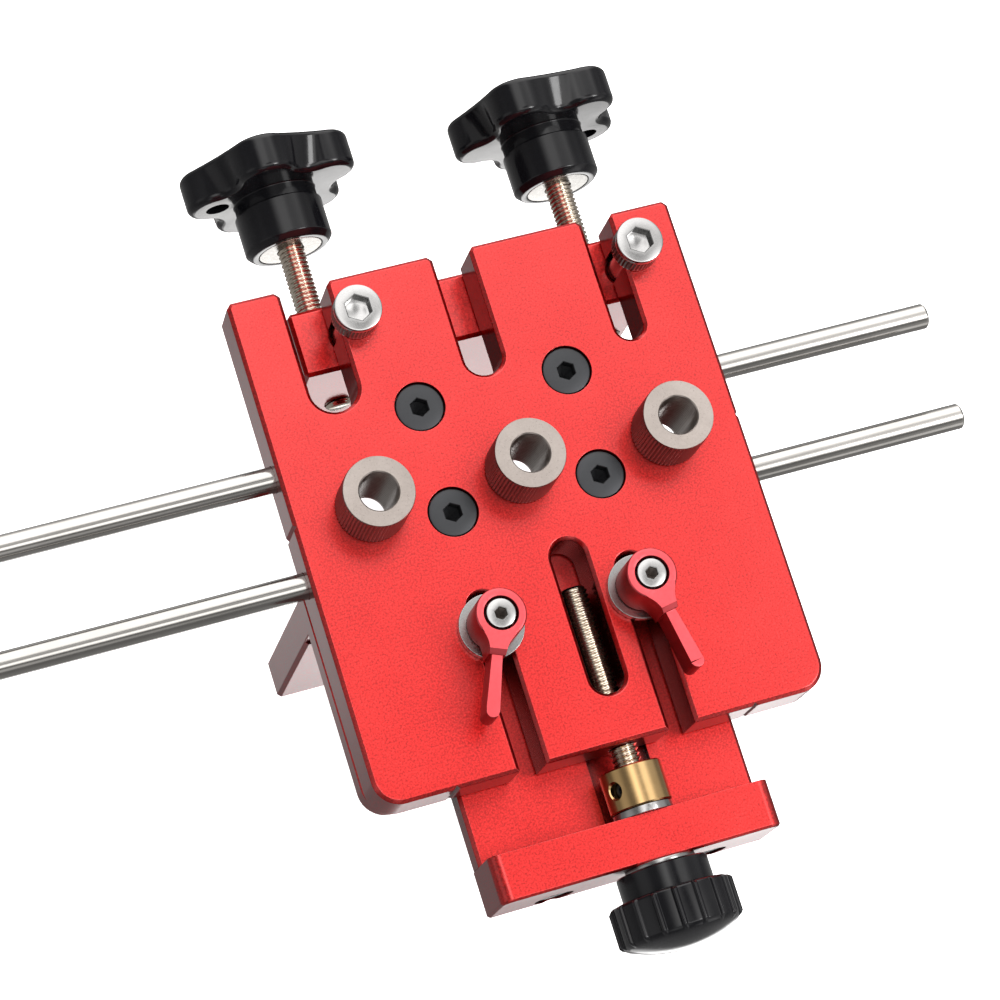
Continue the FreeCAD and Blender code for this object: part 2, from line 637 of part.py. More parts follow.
def lever_handle(label, along, turn):
    """A lever: the hub, a neck that narrows to the arm, and a thin arm one step lower."""
    body = new_body(label)
    bore = "insert_radius + running"
    revolve(body, [
        (bore, "hub_low"), ("hub_radius", "hub_low"), ("hub_radius", "hub_top - hub_rim"),
        ("hub_radius - hub_rim", "hub_top"), ("well_radius", "hub_top"), ("well_radius", "web_top"),
        ("web_bore", "web_top"), ("web_bore", "web_low"), (bore, "web_low"),
    ])
    fillet_y = f"(neck_half + {NECK_FILLET})"
    reach = f"hub_radius / (hub_radius + {NECK_FILLET})"
    hub_x, hub_y = f"neck_end * {reach}", f"{fillet_y} * {reach}"
    neck = new_sketch(body, "XY_Plane", "arm_low")
    draw_outline(neck, [
        (hub_x, f"-({hub_y})"), ("neck_end", "-neck_half", "neck_end", f"-{fillet_y}", -1),
        ("neck_end", "neck_half"), (hub_x, hub_y, "neck_end", fillet_y, -1),
    ])
    pad(body, neck, "hub_top - arm_low")
    end, top = size("neck_end"), size("hub_top")
    break_edges(body, "step_slope", edges_where(
        body, lambda edge: edge.BoundBox.XMin > end - 0.01 and edge.BoundBox.ZMin > top - 0.01))
    arm = new_sketch(body, "XY_Plane", "arm_low")
    tip = "arm_tip - arm_tip_half"
    draw_outline(arm, [
        ("neck_end - neck_half", "-arm_root_half"), (tip, "-arm_tip_half"),
        (tip, "arm_tip_half", tip, "0", 1), ("neck_end - neck_half", "arm_root_half"),
    ])
    pad(body, arm, "arm_top - arm_low")
    place(body, along, turn)
    return body


def lever_insert(label, along, turn):
    """The threaded insert inside the hub: it turns on the stud, and the handle lifts off it."""
    body = new_body(label)
    hole = "stud_radius + running"
    revolve(body, [
        (hole, "insert_low"), ("insert_radius", "insert_low"), ("insert_radius", "insert_top"),
        ("pin_shank", "insert_top"), ("pin_shank", "insert_hole_top"), (hole, "insert_hole_top"),
    ])
    place(body, along, turn)
    return body


def lever_stud(label, along):
    """The stud that is fixed in the jaw and rises through the lever slot."""
    body = new_body(label)
    low = "-jaw_bottom"
    revolve(body, [("0", low), ("stud_radius", low), ("stud_radius", "stud_top - thread_break"),
                   ("stud_radius - thread_break", "stud_top"), ("0", "stud_top")])
    place(body, along)
    return body


def clamp_lever(side, x, turn):
    """All the pieces of one clamp lever, on one vertical axis."""
    on_plate = (x, "-lever_front", "0")
    swing = Rotation(Vector(0, 0, 1), size(turn))
    return [
        lever_handle(f"lever_handle_{side}", on_plate, swing),
        lever_insert(f"lever_insert_{side}", on_plate, swing),
        socket_screw(f"lever_screw_{side}", "pin", "pin_head", "pin_head_top - pin_head_low",
                     "pin_shank", "pin_head_low - insert_hole_top", "pin_key",
                     (x, "-lever_front", "pin_head_low"), swing),
        ring(f"lever_spring_{side}", "spring_inner", "spring_outer", "pin_head_low - web_top",
             (x, "-lever_front", "web_top")),
        lever_stud(f"lever_stud_{side}", on_plate),
        ring(f"lever_washer_{side}", "stud_radius + face_gap", "washer_radius",
             "washer_top - face_gap", (x, "-lever_front", "face_gap")),
    ]


# ---- star-knob clamp screws --------------------------------------------------------------------

def star_outline(waist, inset):
    """The knob's plan at one height, moved inwards by an inset: lobes and hollows in turn, each
    arc tangent to the next. The waist is how near the hollows come to the axis."""
    bulge = f"(lobe_radius - {waist})"
    hollow_centre = (f"((lobe_centre ^ 2 - {bulge} ^ 2)"
                     f" / (2 * lobe_centre * {math.cos(HALF_LOBE):.8f} + 2 * {bulge}))")
    reach = f"(lobe_radius - {inset}) / (lobe_radius + {hollow_centre} - {waist})"
    steps = []
    for lobe in range(LOBES):
        middle = 2 * HALF_LOBE * lobe
        lobe_x, lobe_y = spoke("lobe_centre", middle)
        before, after = spoke(hollow_centre, middle - HALF_LOBE), spoke(hollow_centre, middle + HALF_LOBE)
        meets = [tuple(f"{a} + ({b} - {a}) * {reach}" for a, b in zip((lobe_x, lobe_y), hollow))
                 for hollow in (before, after)]
        steps.append((*meets[0], *before, -1))
        steps.append((*meets[1], lobe_x, lobe_y, 1))
    return steps


def spoke(distance, angle):
    """Both coordinates of a point at a distance from the centre, in a direction in radians."""
    return f"({distance} * {math.cos(angle):.10f})", f"({distance} * {math.sin(angle):.10f})"


def star_knob(label, along, turn):
    """The five-lobed knob: a stepped hub, the lobed head, and one blind pocket under a lobe."""
    body = new_body(label)
    flange_top, barrel_top = "ring_flange_thick + running", "ring_long + running"
    revolve(body, [
        ("clamp_radius", barrel_top), ("ring_barrel + running", barrel_top),
        ("ring_barrel + running", flange_top), ("ring_flange + running", flange_top),
        ("ring_flange + running", "0"), ("knob_hub - knob_foot_break", "0"),
        ("knob_hub", "knob_foot_break"), ("knob_hub", "knob_collar_low"),
        ("knob_collar", "knob_collar_low"), ("knob_collar", "knob_face"), ("0", "knob_face"),
        ("0", "clamp_in_knob"), ("clamp_radius", "clamp_in_knob"),
    ])
    loft(body, [
        star_section(body, "knob_face", "knob_waist", "knob_break"),
        star_section(body, "knob_face + knob_break", "knob_waist", "0"),
        star_section(body, "knob_top - knob_break", "knob_waist_top", "0"),
        star_section(body, "knob_top", "knob_waist_top", "knob_break"),
    ])
    hole = new_sketch(body, "XY_Plane", "knob_face")
    draw_circle(hole, "lobe_centre", "0", "knob_pocket")
    pocket(body, hole, "knob_pocket_deep", reverse=True)
    place(body, along, turn)
    return body


def star_section(body, height, waist, inset):
    section = new_sketch(body, "XY_Plane", height)
    draw_outline(section, star_outline(waist, inset))
    return section


def knob_insert(label, along):
    """The flanged metal insert moulded into the knob's foot."""
    body = new_body(label)
    bore = "clamp_radius + running"
    revolve(body, [(bore, "0"), ("ring_flange", "0"), ("ring_flange", "ring_flange_thick"),
                   ("ring_barrel", "ring_flange_thick"), ("ring_barrel", "ring_long"),
                   (bore, "ring_long")])
    place(body, along, AXIS_TO_REAR)
    return body


def clamp_screw(label, x):
    """The threaded rod of one clamp screw, from the tip that presses on the board."""
    body = new_body(label)
    long = "(knob_foot + clamp_in_knob - clamp_tip)"
    revolve(body, [
        ("0", "0"), ("clamp_radius - thread_break", "0"), ("clamp_radius", "thread_break"),
        ("clamp_radius", long), ("0", long),
    ])
    place(body, (x, "clamp_tip", "-clamp_depth"), AXIS_TO_REAR)
    return body


def star_clamp(side, x, turn):
    foot = (x, "knob_foot", "-clamp_depth")
    swing = AXIS_TO_REAR.multiply(Rotation(Vector(0, 0, 1), size(turn)))
    return [clamp_screw(f"clamp_screw_{side}", x), star_knob(f"star_knob_{side}", foot, swing),
            knob_insert(f"star_knob_insert_{side}", foot)]


# ---- the whole jig -----------------------------------------------------------------------------

def build():
    return [
        main_plate(), *drill_guides(), *rod_lock_screws(), *guide_rods(),
        rear_clamp_block(), *block_screws(),
        sliding_jaw(), jaw_end_plate(), *end_plate_screws(),
        lead_screw(), lead_collar(), collar_set_screw(), *thrust_washers(), adjuster_knob(),
        *clamp_lever("left", "-lever_across", "lever_left_turn"),
        *clamp_lever("right", "lever_across", "lever_right_turn"),
        *star_clamp("left", "-clamp_left", "knob_left_turn"),
        *star_clamp("right", "clamp_right", "knob_right_turn"),
    ]


def check(bodies):
    """Stops on any object that failed, and on any sub-part that isn't one valid solid."""
    failed = [f"{item.Name}: {item.getStatusString()}" for item in DOC.Objects
              if {"Invalid", "Error"} & set(item.State)]
    failed += [f"{body.Label}: not one valid solid" for body in bodies
               if body.Shape.isNull() or not body.Shape.isValid() or len(body.Shape.Solids) != 1]
    if failed:
        raise RuntimeError("\n".join(failed))


def write(bodies):
    os.makedirs("parts", exist_ok=True)
    for body in bodies:
        body.Shape.exportStep(os.path.join("parts", f"{body.Label}.step"))
        box = body.Shape.BoundBox
        print(f"{body.Label:28s} {body.Shape.Volume:10.1f} mm3"
              f"  x {box.XMin:8.2f} {box.XMax:8.2f}  y {box.YMin:8.2f} {box.YMax:8.2f}"
              f"  z {box.ZMin:8.2f} {box.ZMax:8.2f}")


BODIES = build()
DOC.recompute()
check(BODIES)
write(BODIES)
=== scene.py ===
"""Looks for a self-centring doweling jig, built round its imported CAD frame.

Blender works in metres. The lengths below are millimetres, and put() and MM turn them into
metres.
+Z is up, +X runs along the row of drill guides, and +Y points to the two star knobs.
"""

import json
import math

import bpy
from mathutils import Matrix, Vector


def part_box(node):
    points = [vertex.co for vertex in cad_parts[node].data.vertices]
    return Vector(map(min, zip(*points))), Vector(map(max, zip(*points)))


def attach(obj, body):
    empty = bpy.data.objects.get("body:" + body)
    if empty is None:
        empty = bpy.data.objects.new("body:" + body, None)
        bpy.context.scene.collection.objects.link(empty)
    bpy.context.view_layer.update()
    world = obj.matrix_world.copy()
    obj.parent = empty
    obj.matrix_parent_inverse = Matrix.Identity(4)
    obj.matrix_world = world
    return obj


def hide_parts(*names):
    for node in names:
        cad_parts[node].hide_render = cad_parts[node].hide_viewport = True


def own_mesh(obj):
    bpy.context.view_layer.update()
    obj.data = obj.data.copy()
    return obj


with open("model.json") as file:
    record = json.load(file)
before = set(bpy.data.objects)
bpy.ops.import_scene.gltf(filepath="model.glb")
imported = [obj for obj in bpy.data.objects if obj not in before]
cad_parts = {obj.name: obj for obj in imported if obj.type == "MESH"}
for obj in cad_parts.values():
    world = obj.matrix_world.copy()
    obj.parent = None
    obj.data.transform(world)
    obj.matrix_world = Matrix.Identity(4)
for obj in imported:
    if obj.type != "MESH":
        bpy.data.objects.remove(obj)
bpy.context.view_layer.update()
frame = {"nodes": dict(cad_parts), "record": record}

MM = 0.001
UP = Matrix.Identity(4)
TO_REAR = Matrix.Rotation(math.radians(-90), 4, "X")
TO_FRONT = Matrix.Rotation(math.radians(90), 4, "X")
SIDES = ("left", "right")
SHARP = 35  # degrees between two faces from which their edge stays sharp


# ---- materials ---------------------------------------------------------------------------------

# A fine noise value of GRAIN_LOW or less is a darkest grain, and GRAIN_HIGH or more a lightest one.
GRAIN_LOW, GRAIN_HIGH = 0.3, 0.7

# Painted shade in the plate's front slots: the colour darkens where ambient occlusion finds walls near.
# How far it looks for a wall and the two places along Y where it sets in and is full are millimetres.
# The next two are how open to the air a spot is there, from 0 to 1, and the last is how much of the
# colour it takes away.
SLOT_SHADE_REACH = 14
SLOT_SHADE_START, SLOT_SHADE_FULL = -6, -16
SLOT_SHADE_OPEN, SLOT_SHADE_CLOSED = 0.92, 0.55
SLOT_SHADE_DEPTH = 0.93


def link(tree, start, end):
    """Joins an output to an input."""
    tree.links.new(start, end)


def new_node(tree, kind, **values):
    """A shader node. A value named after one of its sockets is set there, and any other is set as
    an attribute of the node."""
    node = tree.nodes.new(kind)
    for name, value in values.items():
        label = name.replace("_", " ").title() if "_" in name else name.capitalize()
        if label in node.inputs:
            node.inputs[label].default_value = value
        else:
            setattr(node, name, value)
    return node


def ramp(tree, fac, low, high, low_at=0.35, high_at=0.65):
    """A blend between two grey values or colours, driven by a 0 to 1 value."""
    node = tree.nodes.new("ShaderNodeValToRGB")
    for element, place, tone in zip(node.color_ramp.elements, (low_at, high_at), (low, high)):
        element.position = place
        element.color = (*tone, 1) if hasattr(tone, "__len__") else (tone, tone, tone, 1)
    link(tree, fac, node.inputs["Fac"])
    return node.outputs["Color"]


def maths(tree, operation, *values):
    """The result of a Math node on sockets or plain numbers."""
    node = tree.nodes.new("ShaderNodeMath")
    node.operation = operation
    for value, socket in zip(values, node.inputs):
        if isinstance(value, (int, float)):
            socket.default_value = value
        else:
            link(tree, value, socket)
    return node.outputs["Value"]


def dot(tree, direction, axis):
    """How far a direction points along an axis of any length: the cosine of the angle between."""
    node = tree.nodes.new("ShaderNodeVectorMath")
    node.operation = "DOT_PRODUCT"
    link(tree, direction, node.inputs[0])
    node.inputs[1].default_value = Vector(axis).normalized()
    return node.outputs["Value"]


def rise(tree, value, start, full, height=1.0):
    """A smooth step from 0 at start to a height at full."""
    node = tree.nodes.new("ShaderNodeMapRange")
    node.interpolation_type = "SMOOTHSTEP"
    for label, number in (("From Min", start), ("From Max", full), ("To Max", height)):
        node.inputs[label].default_value = number
    link(tree, value, node.inputs["Value"])
    return node.outputs["Result"]


def scaled(tree, colour, factor):
    """The colour, made lighter or darker by a factor."""
    node = tree.nodes.new("ShaderNodeVectorMath")
    node.operation = "SCALE"
    link(tree, colour, node.inputs[0])
    link(tree, factor, node.inputs["Scale"])
    return node.outputs["Vector"]


def painted_slot_shade(tree, place, colour):
    """The colour, darkened by painted shade in the narrow slots of the front half, where the levers
    and the lead screw work: ambient occlusion within the piece, setting in towards the front."""
    shelter = new_node(tree, "ShaderNodeAmbientOcclusion", samples=6, only_local=True,
                       Distance=SLOT_SHADE_REACH * MM)
    axes = tree.nodes.new("ShaderNodeSeparateXYZ")
    link(tree, place, axes.inputs["Vector"])
    front = rise(tree, axes.outputs["Y"], SLOT_SHADE_START * MM, SLOT_SHADE_FULL * MM)
    deep = rise(tree, shelter.outputs["AO"], SLOT_SHADE_OPEN, SLOT_SHADE_CLOSED, SLOT_SHADE_DEPTH)
    unshaded = maths(tree, "SUBTRACT", 1.0, maths(tree, "MULTIPLY", front, deep))
    return scaled(tree, colour, unshaded)


def material(name, colours, roughness, grain, bump, stretch=(1, 1, 1), blotch=60, speckle=0.05,
             shaded_slots=False, **sockets):
    """A finish whose colour and roughness drift a little, with a fine grain.

    colours and roughness are pairs, grain is the number of grains in a metre, bump is the grain's
    depth in millimetres and speckle its share in the colour; stretch squeezes the grain along the
    object's axes, blotch is how many drifts of colour fit in a metre, and shaded_slots adds painted
    shade in the front slots. Every other value is set on the shader's socket of that name.
    the front slots. Every other value is set on the shader's socket of that name.
    """
    made = bpy.data.materials.new(name)
    made.use_nodes = True
    tree = made.node_tree
    shader = tree.nodes["Principled BSDF"]
    for socket, value in sockets.items():
        shader.inputs[socket.replace("_", " ")].default_value = value
    place = tree.nodes.new("ShaderNodeTexCoord").outputs["Object"]
    drift = new_node(tree, "ShaderNodeTexNoise", Scale=blotch, Detail=4.0, Roughness=0.6)
    link(tree, place, drift.inputs["Vector"])
    mapping = tree.nodes.new("ShaderNodeMapping")
    mapping.inputs["Scale"].default_value = stretch
    link(tree, place, mapping.inputs["Vector"])
    fine = new_node(tree, "ShaderNodeTexNoise", Scale=grain, Detail=3.0, Roughness=0.65)
    link(tree, mapping.outputs["Vector"], fine.inputs["Vector"])
    grains = new_node(tree, "ShaderNodeMapRange", From_Min=GRAIN_LOW, From_Max=GRAIN_HIGH,
                      To_Min=1 - speckle, To_Max=1 + speckle)
    link(tree, fine.outputs["Fac"], grains.inputs["Value"])
    colour = scaled(tree, ramp(tree, drift.outputs["Fac"], *colours), grains.outputs["Result"])
    # painted shade: the colour darkens where walls are near in the front slots
    if shaded_slots:
        colour = painted_slot_shade(tree, place, colour)
    link(tree, colour, shader.inputs["Base Color"])
    rough = ramp(tree, fine.outputs["Fac"], *roughness, GRAIN_LOW, GRAIN_HIGH)
    link(tree, rough, shader.inputs["Roughness"])
    relief = new_node(tree, "ShaderNodeBump", Strength=1.0, Distance=bump * MM)
    link(tree, fine.outputs["Fac"], relief.inputs["Height"])
    for label in ("Normal", "Coat Normal"):
        link(tree, relief.outputs["Normal"], shader.inputs[label])
    return made


def make_materials():
    """Every finish of the jig, by the name of its slot."""
    metal = {"Metallic": 1.0}
    return {
        # the red parts get painted shade in the front slots
        "red_anodised": material(
            "red_anodised", ((0.42, 0.0145, 0.0135), (0.47, 0.018, 0.0165)), (0.30, 0.41), 2300, 0.014,
            speckle=0.38, shaded_slots=True, Specular_Tint=(0.10, 0.08, 0.08, 1), Coat_Weight=0.55,
            Coat_Roughness=0.16, Coat_IOR=1.6, **metal),
        "red_lever": material(
            "red_lever", ((0.46, 0.054, 0.062), (0.52, 0.066, 0.076)), (0.36, 0.46), 1500, 0.006,
            Specular_Tint=(0.25, 0.12, 0.12, 1), Coat_Weight=0.2, Coat_Roughness=0.25, **metal),
        "steel_rod": material(
            "steel_rod", ((0.30, 0.29, 0.275), (0.345, 0.333, 0.318)), (0.10, 0.16), 900, 0.002,
            stretch=(1, 30, 30), **metal),
        "stainless": material(
            "stainless", ((0.255, 0.252, 0.25), (0.30, 0.297, 0.294)), (0.20, 0.26), 2500, 0.0008,
            **metal),
        "black_oxide": material(
            "black_oxide", ((0.022, 0.023, 0.025), (0.028, 0.029, 0.032)), (0.38, 0.50), 2500, 0.006,
            Metallic=0.6),
        "nickel_guide": material(
            "nickel_guide", ((0.255, 0.223, 0.203), (0.315, 0.278, 0.255)), (0.27, 0.34), 3000, 0.001,
            blotch=45, **metal),
        # the knurls' own duller finish; in the bright screws' sockets it is painted shade
        "knurl": material(
            "knurl", ((0.10, 0.088, 0.080), (0.15, 0.132, 0.120)), (0.34, 0.44), 3000, 0.004, **metal),
        "zinc_thread": material(
            "zinc_thread", ((0.48, 0.41, 0.335), (0.56, 0.505, 0.435)), (0.14, 0.20), 1800, 0.001,
            blotch=220, **metal),
        "brass_collar": material(
            "brass_collar", ((0.37, 0.235, 0.10), (0.42, 0.28, 0.132)), (0.18, 0.26), 400, 0.002,
            stretch=(1, 60, 1), **metal),
        "black_plastic": material(
            "black_plastic", ((0.003, 0.003, 0.004), (0.005, 0.005, 0.006)), (0.10, 0.16), 700, 0.003,
            Specular_IOR_Level=0.24),
        "pale_insert": material(
            "pale_insert", ((0.32, 0.312, 0.292), (0.365, 0.358, 0.338)), (0.24, 0.32), 1800, 0.0008,
            **metal),
        "spring_steel": material(
            "spring_steel", ((0.10, 0.10, 0.10), (0.14, 0.14, 0.14)), (0.25, 0.35), 1800, 0.003,
            **metal),
    }


# ---- meshes ------------------------------------------------------------------------------------

def turned(rings, count=96, loop=False):
    """A turned piece round Z. A ring is (radius, height), and the radius may be a function of the
    angle; a radius of 0 makes a pole. The profile runs outwards at the bottom and inwards at the top."""
    verts, starts = [], []
    for radius, height in rings:
        starts.append(len(verts))
        if radius == 0:
            verts.append((0, 0, height))
            continue
        for step in range(count):
            angle = 2 * math.pi * step / count
            reach = radius(angle) if callable(radius) else radius
            verts.append((reach * math.cos(angle), reach * math.sin(angle), height))
    faces = []
    order = list(range(len(rings)))
    for low, high in zip(order, order[1:] + order[:1] if loop else order[1:]):
        a, b = starts[low], starts[high]
        for step in range(count):
            after = (step + 1) % count
            if rings[low][0] == 0:
                faces.append((a, b + after, b + step))
            elif rings[high][0] == 0:
                faces.append((a + step, a + after, b))
            else:
                faces.append((a + step, a + after, b + after, b + step))
    return verts, faces


def rounded(profile, radius=0.25, steps=3):
    """The profile with each inner corner replaced by a short arc."""
    points = [Vector(point) for point in profile]
    result = [profile[0]]
    for before, corner, after in zip(points, points[1:], points[2:]):
        back, on = before - corner, after - corner
        reach = min(radius, back.length * 0.45, on.length * 0.45)
        start, end = corner + back.normalized() * reach, corner + on.normalized() * reach
        for step in range(steps + 1):
            t = step / steps
            result.append(tuple(start * (1 - t) ** 2 + corner * 2 * t * (1 - t) + end * t ** 2))
    result.append(profile[-1])
    return result


def hexagon(across):
    """The radius of a hexagon, from its width across flats, with corners at 30 degrees."""
    third = math.pi / 3

    def radius(angle):
        return across / 2 / math.cos((angle + third / 2) % third - third / 2)
    return radius


def knurled(outer, depth, teeth):
    """The radius of a straight knurl with sharp grooves."""
    def radius(angle):
        phase = angle * teeth / (2 * math.pi) % 1
        return outer - depth * abs(2 * phase - 1)
    return radius


def ribbed(outer, proud, width, count):
    """The radius of a plain round with a few narrow rounded ribs."""
    def radius(angle):
        pitch = 2 * math.pi / count
        off = ((angle + pitch / 2) % pitch - pitch / 2) * outer / (width / 2)
        return outer + proud * math.sqrt(max(0, 1 - off * off))
    return radius


def threaded(major, height, pitch=1.0, depth=0.42, narrow=0.8):
    """The radius of a right-hand thread at one height. A narrow below 1 makes the crests narrower
    than the grooves."""
    def radius(angle):
        phase = 2 * math.pi * (height / pitch - angle / (2 * math.pi))
        return major - depth * (0.5 - 0.5 * math.cos(phase)) ** narrow
    return radius


def thread_rings(major, long, core=2.3, step=0.1):
    """Rings of a threaded rod that stands on its origin, with both ends chamfered."""
    def limited(radius, limit):
        return lambda angle: min(radius(angle), limit)
    rings = [(0, 0), (core, 0)]
    for index in range(1, round(long / step)):
        height = index * step
        limit = core + min(height, long - height)
        rings.append((limited(threaded(major, height), limit), height))
    return rings + [(core, long), (0, long)]


def put(name, shape, body, slot, at=(0, 0, 0), turn=UP, replaces=(), sharp=SHARP):
    """A piece from vertices in millimetres, turned and moved, on its body and in its finish. A
    cutting tool and the floor have no body, and get neither."""
    verts, faces = shape
    mesh = bpy.data.meshes.new(name)
    mesh.from_pydata(verts, [], faces)
    mesh.transform(Matrix.Scale(MM, 4) @ Matrix.Translation(at) @ turn)
    mesh.polygons.foreach_set("use_smooth", [True] * len(mesh.polygons))
    mesh.set_sharp_from_angle(angle=math.radians(sharp))
    mesh.validate()
    piece = bpy.data.objects.new(name, mesh)
    bpy.context.scene.collection.objects.link(piece)
    if body:
        mesh.materials.append(MATERIALS[slot])
        flat_faces_stay_flat(piece)
        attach(piece, body)
    if replaces:
        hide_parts(*replaces)
    return piece


def flat_faces_stay_flat(piece):
    """Weighs the shading by the faces' areas, so that only the rounded edges shade round."""
    normals = piece.modifiers.new("normals", "WEIGHTED_NORMAL")
    normals.keep_sharp = True


def cut(piece, *tools):
    """Takes the tools' shapes out of a piece for good, and removes them."""
    piece.modifiers.clear()
    for tool in tools:
        step = piece.modifiers.new("cut", "BOOLEAN")
        step.operation = "DIFFERENCE"
        step.object = tool
        step.solver = "EXACT"
    bpy.context.view_layer.update()
    graph = bpy.context.evaluated_depsgraph_get()
    mesh = bpy.data.meshes.new_from_object(piece.evaluated_get(graph))
    piece.modifiers.clear()
    piece.data = mesh
    mesh.set_sharp_from_angle(angle=math.radians(SHARP))
    flat_faces_stay_flat(piece)
    for tool in tools:
        bpy.data.objects.remove(tool)


def darken(piece, at, inner, outer, low, high):
    """Gives the faces between two radii and two heights the darker knurl finish: a knurl's own
    duller finish, and painted shade in a socket.
    """
    piece.data.materials.append(MATERIALS["knurl"])
    for face in piece.data.polygons:
        middle = face.center / MM
        if low < middle.z < high and inner < (middle - Vector(at)).xy.length < outer:
            face.material_index = 1


def centre(node):
    """The middle of a CAD node's box, in millimetres."""
    low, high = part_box(node)
    return (low + high) / 2 / MM


def span(node):
    """The low and high corners of a CAD node's box, in millimetres."""
    low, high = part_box(node)
    return low / MM, high / MM


# ---- the CAD nodes that stay -------------------------------------------------------------------

# Millimetres, and degrees for the angle. An edge is rounded where its two faces turn by more than
# EDGE_ANGLE.
WELD_GAP = 0.002
EDGE_WIDTH = 0.12
END_PLATE_EDGE_WIDTH = 0.15
EDGE_ANGLE = 25


def dress_cad_nodes():
    """Gives every CAD node its slot's finish and a fine rounding of its sharp edges."""
    slots = {part["node"]: part["material_slot"] for part in frame["record"]["subparts"]}
    for name, node in frame["nodes"].items():
        node.data.materials.clear()
        node.data.materials.append(MATERIALS[slots[name]])
        node.data.polygons.foreach_set("use_smooth", [True] * len(node.data.polygons))
        weld = node.modifiers.new("weld", "WELD")
        weld.merge_threshold = WELD_GAP * MM
        bevel = node.modifiers.new("fine_edges", "BEVEL")
        bevel.width = (END_PLATE_EDGE_WIDTH if name == "jaw_end_plate" else EDGE_WIDTH) * MM
        bevel.segments = 2
        bevel.limit_method = "ANGLE"
        bevel.angle_limit = math.radians(EDGE_ANGLE)
        bevel.use_clamp_overlap = False
        bevel.miter_outer = "MITER_ARC"
        flat_faces_stay_flat(node)


# ---- drill guides and screws -------------------------------------------------------------------

SEAT = 0.02  # how far a head's foot stands clear of the plate, in millimetres


def drill_guide(side):
    """A guide bush: a knurled head, a plain shank, and a bore with fine rings left by the tool."""
    node = f"drill_guide_{side}"
    low, high = span(node)
    at = Vector((*centre(node)[:2], 0))
    bore, shank, head, top = 4.0, 6.0, (high.x - low.x) / 2, high.z
    chamfer, foot, rim, shoulder, mouth = 0.3, 0.4, 0.22, 0.12, 0.25
    teeth, groove, shallow_groove, run_out, run_in = 60, 0.30, 0.10, 0.25, 0.05
    ring_pitch, ring_depth, ring_half = 0.9, 0.12, 0.15
    knurl = knurled(head, groove, teeth)
    shallow = knurled(head - shallow_groove, shallow_groove, teeth)
    rings = [(bore, low.z), (shank - chamfer, low.z), (shank, low.z + chamfer), (shank, SEAT),
             (head - foot, SEAT), (shallow, foot), (knurl, foot + run_out),
             (knurl, top - rim - run_out), (shallow, top - rim - run_in),
             (head - shoulder, top - rim), (head - rim, top), (bore + mouth, top), (bore, top - mouth)]
    height = top - mouth - ring_pitch
    while height > low.z + ring_pitch:
        rings += [(bore, height + ring_half), (bore + ring_depth, height), (bore, height - ring_half)]
        height -= ring_pitch
    piece = put(f"guide_{side}", turned(rings, count=480, loop=True), "plate", "nickel_guide", at,
                replaces=[node])
    darken(piece, at, head - 0.5, head, foot / 2, top - rim - SEAT)


def cap_screw(side):
    """A socket-head cap screw: knurled head, countersunk hexagon with a drilled floor, long shank."""
    node = f"block_screw_{side}"
    low, high = span(node)
    at = Vector((*centre(node)[:2], 0))
    head, shank, top = 5.0, 3.0, high.z
    chamfer, foot, shoulder, rim, rim_arc = 0.6, 0.5, 0.15, 0.4, 0.12
    knurl_low, knurl_high, groove, teeth = 0.7, 3.9, 0.22, 40
    across, mouth, deep, drill, drill_edge, drill_tip = 5.0, 0.15, 3.0, 1.9, 3.1, 3.9
    band_low, band_high, dark_low, dark_high = 4.2, 4.5, 0.5, 4.1
    knurl, key = knurled(head, groove, teeth), hexagon(across)
    rings = [(0, low.z), (shank - chamfer, low.z), (shank, low.z + chamfer), (shank, SEAT),
             (head - foot, SEAT), (head - shoulder, 0.3), (knurl, knurl_low), (knurl, knurl_high),
             (head - shoulder, band_low), (head, band_high), (head, top - rim),
             (head - rim_arc, top - rim_arc), (head - rim, top), (hexagon(across + 2 * mouth), top),
             (key, top - mouth), (key, top - deep), (drill, top - drill_edge),
             (0, top - drill_tip)]
    piece = put(f"cap_screw_{side}", turned(rings, count=240), "plate", "stainless", at,
                replaces=[node])
    darken(piece, at, head - 0.4, head, dark_low, dark_high)


def flat_screw(piece, node, body, slot, head, thick, shank, across, deep):
    """A screw with a thin flat head and a hexagon socket, in place of a CAD node. A bright screw's
    socket gets painted shade: the darker knurl finish on its walls and floor."""
    low, high = span(node)
    at = Vector((*centre(node)[:2], 0))
    top, key, edge = high.z, hexagon(across), head * 0.07
    chamfer, under, mouth, mouth_across, dark_below = 0.3, 0.1, 0.12, 0.25, 0.08
    rings = [(0, low.z), (shank - chamfer, low.z), (shank, low.z + chamfer), (shank, top - thick),
             (head - under, top - thick), (head, top - thick + under), (head, top - edge),
             (head - edge * 0.35, top - edge * 0.3), (head - edge, top),
             (hexagon(across + mouth_across), top), (key, top - mouth), (key, top - deep),
             (0, top - deep - across / 2)]
    made = put(piece, turned(rings, count=240), body, slot, at, replaces=[node])
    # painted shade: a bright screw's socket walls and floor take the darker knurl finish
    if slot != "black_oxide":
        darken(made, at, 0, across * 0.6, low.z, top - dark_below)


